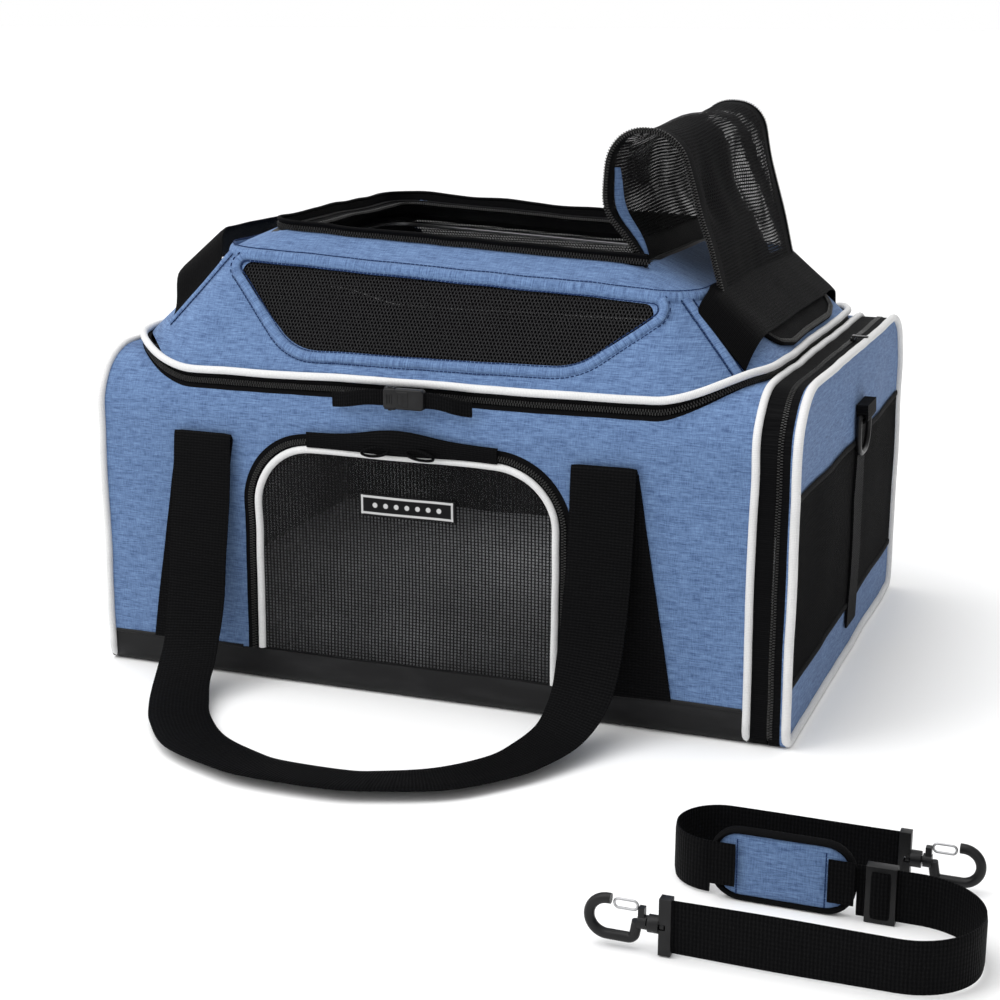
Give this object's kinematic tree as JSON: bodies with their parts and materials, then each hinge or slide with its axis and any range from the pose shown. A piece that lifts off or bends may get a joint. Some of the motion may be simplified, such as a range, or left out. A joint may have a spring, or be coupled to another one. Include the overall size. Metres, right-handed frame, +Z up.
{
  "type": "pet carrier bag",
  "caption": "Soft-sided pet carrier with a domed zip-off lid, mesh windows and doors, webbing handles and a detachable shoulder strap.",
  "frame": {"origin": "middle of the bag's flat underside, taken between the left end and the end door's face, on the surface it stands on", "axes": "+X along the bag's length towards the zipped end door, -Y towards the mesh front door, +Z up"},
  "size_m": [0.5741, 0.7381, 0.338],
  "materials": {
    "fabric_blue": "heathered two-tone weave",
    "coated_black": "smooth coated cloth",
    "piping_white": "woven piping",
    "webbing_black": "ribbed webbing",
    "elastic_black": "woven elastic",
    "zip_black": "zip tape and coil",
    "mesh_black": "open sport mesh",
    "mesh_door": "coated square mesh",
    "mat_plush": "plush",
    "label": "matte",
    "board": "matte",
    "plastic_black": "satin",
    "zip_metal": "black enamel",
    "spring_wire": "drawn wire"
  },
  "bodies": {
    "carrier": {"base_tray": "coated_black", "base_board": "board", "base_mat": "mat_plush", "front_panel": "fabric_blue", "back_panel": "fabric_blue", "left_end_panel": "fabric_blue", "body_lid_zip_tape": "zip_black", "end_pipings": "piping_white", "end_frame_zip_tape": "zip_black", "end_frame_wires": "spring_wire", "front_frame_zip_tape": "zip_black", "handle_anchors": "webbing_black", "left_ring_strip": "webbing_black", "buckle_socket": "plastic_black", "buckle_strap_left": "webbing_black"},
    "lid": {"lid_mesh_windows": "mesh_black", "lid_piping": "piping_white", "lid_zip_tape": "zip_black", "lid_frame_wire": "spring_wire", "lid_elastic_bands": "elastic_black", "top_opening_zip_tape": "zip_black", "top_flap": "mesh_black", "top_flap_zip_edge": "zip_black", "lid_front_slope": "fabric_blue", "lid_back_slope": "fabric_blue", "lid_right_slope": "fabric_blue", "lid_left_slope": "fabric_blue", "lid_top_frame": "fabric_blue"},
    "front_door": {"front_door_mesh": "mesh_door", "front_door_piping": "piping_white", "front_door_zip_tape": "zip_black", "door_zip_cover": "webbing_black", "label_patch": "label"},
    "end_door": {"end_door_panel": "fabric_blue", "end_door_piping": "piping_white", "end_door_zip_tape": "zip_black", "end_door_pocket": "mesh_black", "end_ring_strip": "webbing_black"},
    "front_handle": {"front_handle": "webbing_black"},
    "back_handle": {"back_handle": "webbing_black"},
    "end_ring": {"end_ring": "plastic_black"},
    "left_ring": {"left_ring": "plastic_black"},
    "buckle_plug": {"buckle_plug": "plastic_black", "buckle_strap_right": "webbing_black"},
    "door_slider_left": {"door_slider_left": "zip_metal"},
    "door_slider_right": {"door_slider_right": "zip_metal"},
    "lid_slider_left": {"lid_slider_left": "zip_metal"},
    "lid_slider_right": {"lid_slider_right": "zip_metal"},
    "end_door_slider": {"end_door_slider": "zip_metal"},
    "top_slider_front": {"top_slider_front": "zip_metal"},
    "top_slider_back": {"top_slider_back": "zip_metal"},
    "shoulder_strap": {"strap_webbing_long": "webbing_black", "strap_webbing_short": "webbing_black", "strap_pad": "fabric_blue", "strap_hook_eyes": "plastic_black"},
    "strap_adjuster": {"strap_adjuster": "plastic_black"},
    "strap_hook_front": {"strap_hook_front": "plastic_black"},
    "strap_gate_front": {"strap_gate_front": "plastic_black"},
    "strap_hook_back": {"strap_hook_back": "plastic_black"},
    "strap_gate_back": {"strap_gate_back": "plastic_black"}
  },
  "joints": [
    {"name": "lid_hinge", "type": "hinge", "parent": "carrier", "child": "lid", "pos_m": [-0.01, 0.163, 0.184], "axis": [-1, 0, 0], "range_deg": [0, 110]},
    {"name": "front_door_hinge", "type": "hinge", "parent": "carrier", "child": "front_door", "pos_m": [-0.0135, -0.166, 0.021], "axis": [1, 0, 0], "range_deg": [0, 90]},
    {"name": "end_door_hinge", "type": "hinge", "parent": "carrier", "child": "end_door", "pos_m": [0.216, 0, 0.001], "axis": [0, 1, 0], "range_deg": [0, 86]},
    {"name": "front_handle_fold", "type": "hinge", "parent": "carrier", "child": "front_handle", "pos_m": [-0.016, -0.168, 0.15], "axis": [-1, 0, 0], "range_deg": [0, 160]},
    {"name": "back_handle_fold", "type": "hinge", "parent": "carrier", "child": "back_handle", "pos_m": [-0.016, 0.168, 0.15], "axis": [-1, 0, 0], "range_deg": [-160, 0]},
    {"name": "end_ring_swing", "type": "hinge", "parent": "end_door", "child": "end_ring", "pos_m": [0.22055, 0.014, 0.156], "axis": [0, -1, 0], "range_deg": [0, 150]},
    {"name": "left_ring_swing", "type": "hinge", "parent": "carrier", "child": "left_ring", "pos_m": [-0.21975, 0.014, 0.156], "axis": [0, 1, 0], "range_deg": [0, 150]},
    {"name": "buckle_release", "type": "slide", "parent": "carrier", "child": "buckle_plug", "axis": [1, 0, 0], "range_m": [0, 0.016]},
    {"name": "door_slider_left_travel", "type": "slide", "parent": "front_door", "child": "door_slider_left", "axis": [-1, 0, 0], "range_m": [0, 0.036]},
    {"name": "door_slider_right_travel", "type": "slide", "parent": "front_door", "child": "door_slider_right", "axis": [1, 0, 0], "range_m": [0, 0.036]},
    {"name": "lid_slider_left_travel", "type": "slide", "parent": "lid", "child": "lid_slider_left", "axis": [-1, 0, 0], "range_m": [0, 0.12]},
    {"name": "lid_slider_right_travel", "type": "slide", "parent": "lid", "child": "lid_slider_right", "axis": [1, 0, 0], "range_m": [0, 0.12]},
    {"name": "end_door_slider_travel", "type": "slide", "parent": "end_door", "child": "end_door_slider", "axis": [0, 1, 0], "range_m": [-0.14, 0.08]},
    {"name": "top_slider_front_travel", "type": "slide", "parent": "lid", "child": "top_slider_front", "axis": [-0.9988, 0, 0.0483], "range_m": [0, 0.16]},
    {"name": "top_slider_back_travel", "type": "slide", "parent": "lid", "child": "top_slider_back", "axis": [-0.9988, 0, 0.0483], "range_m": [0, 0.16]},
    {"name": "strap_lift", "type": "slide", "parent": "carrier", "child": "shoulder_strap", "axis": [0, 0, 1], "range_m": [0, 0.25]},
    {"name": "strap_adjuster_travel", "type": "slide", "parent": "shoulder_strap", "child": "strap_adjuster", "axis": [1, 0, 0], "range_m": [0, 0.009]},
    {"name": "strap_swivel_front", "type": "hinge", "parent": "shoulder_strap", "child": "strap_hook_front", "pos_m": [0.217, -0.414, 0.014], "axis": [-1, 0, 0], "continuous": true},
    {"name": "strap_swivel_back", "type": "hinge", "parent": "shoulder_strap", "child": "strap_hook_back", "pos_m": [0.307, -0.308, 0.014], "axis": [1, 0, 0], "continuous": true},
    {"name": "strap_gate_front_hinge", "type": "hinge", "parent": "strap_hook_front", "child": "strap_gate_front", "pos_m": [0.2061, -0.414, 0.0188], "axis": [0, -1, 0], "range_deg": [0, 25], "stiffness_Nm_per_rad": 0.02},
    {"name": "strap_gate_back_hinge", "type": "hinge", "parent": "strap_hook_back", "child": "strap_gate_back", "pos_m": [0.3179, -0.308, 0.0188], "axis": [0, 1, 0], "range_deg": [0, 25], "stiffness_Nm_per_rad": 0.02}
  ]
}
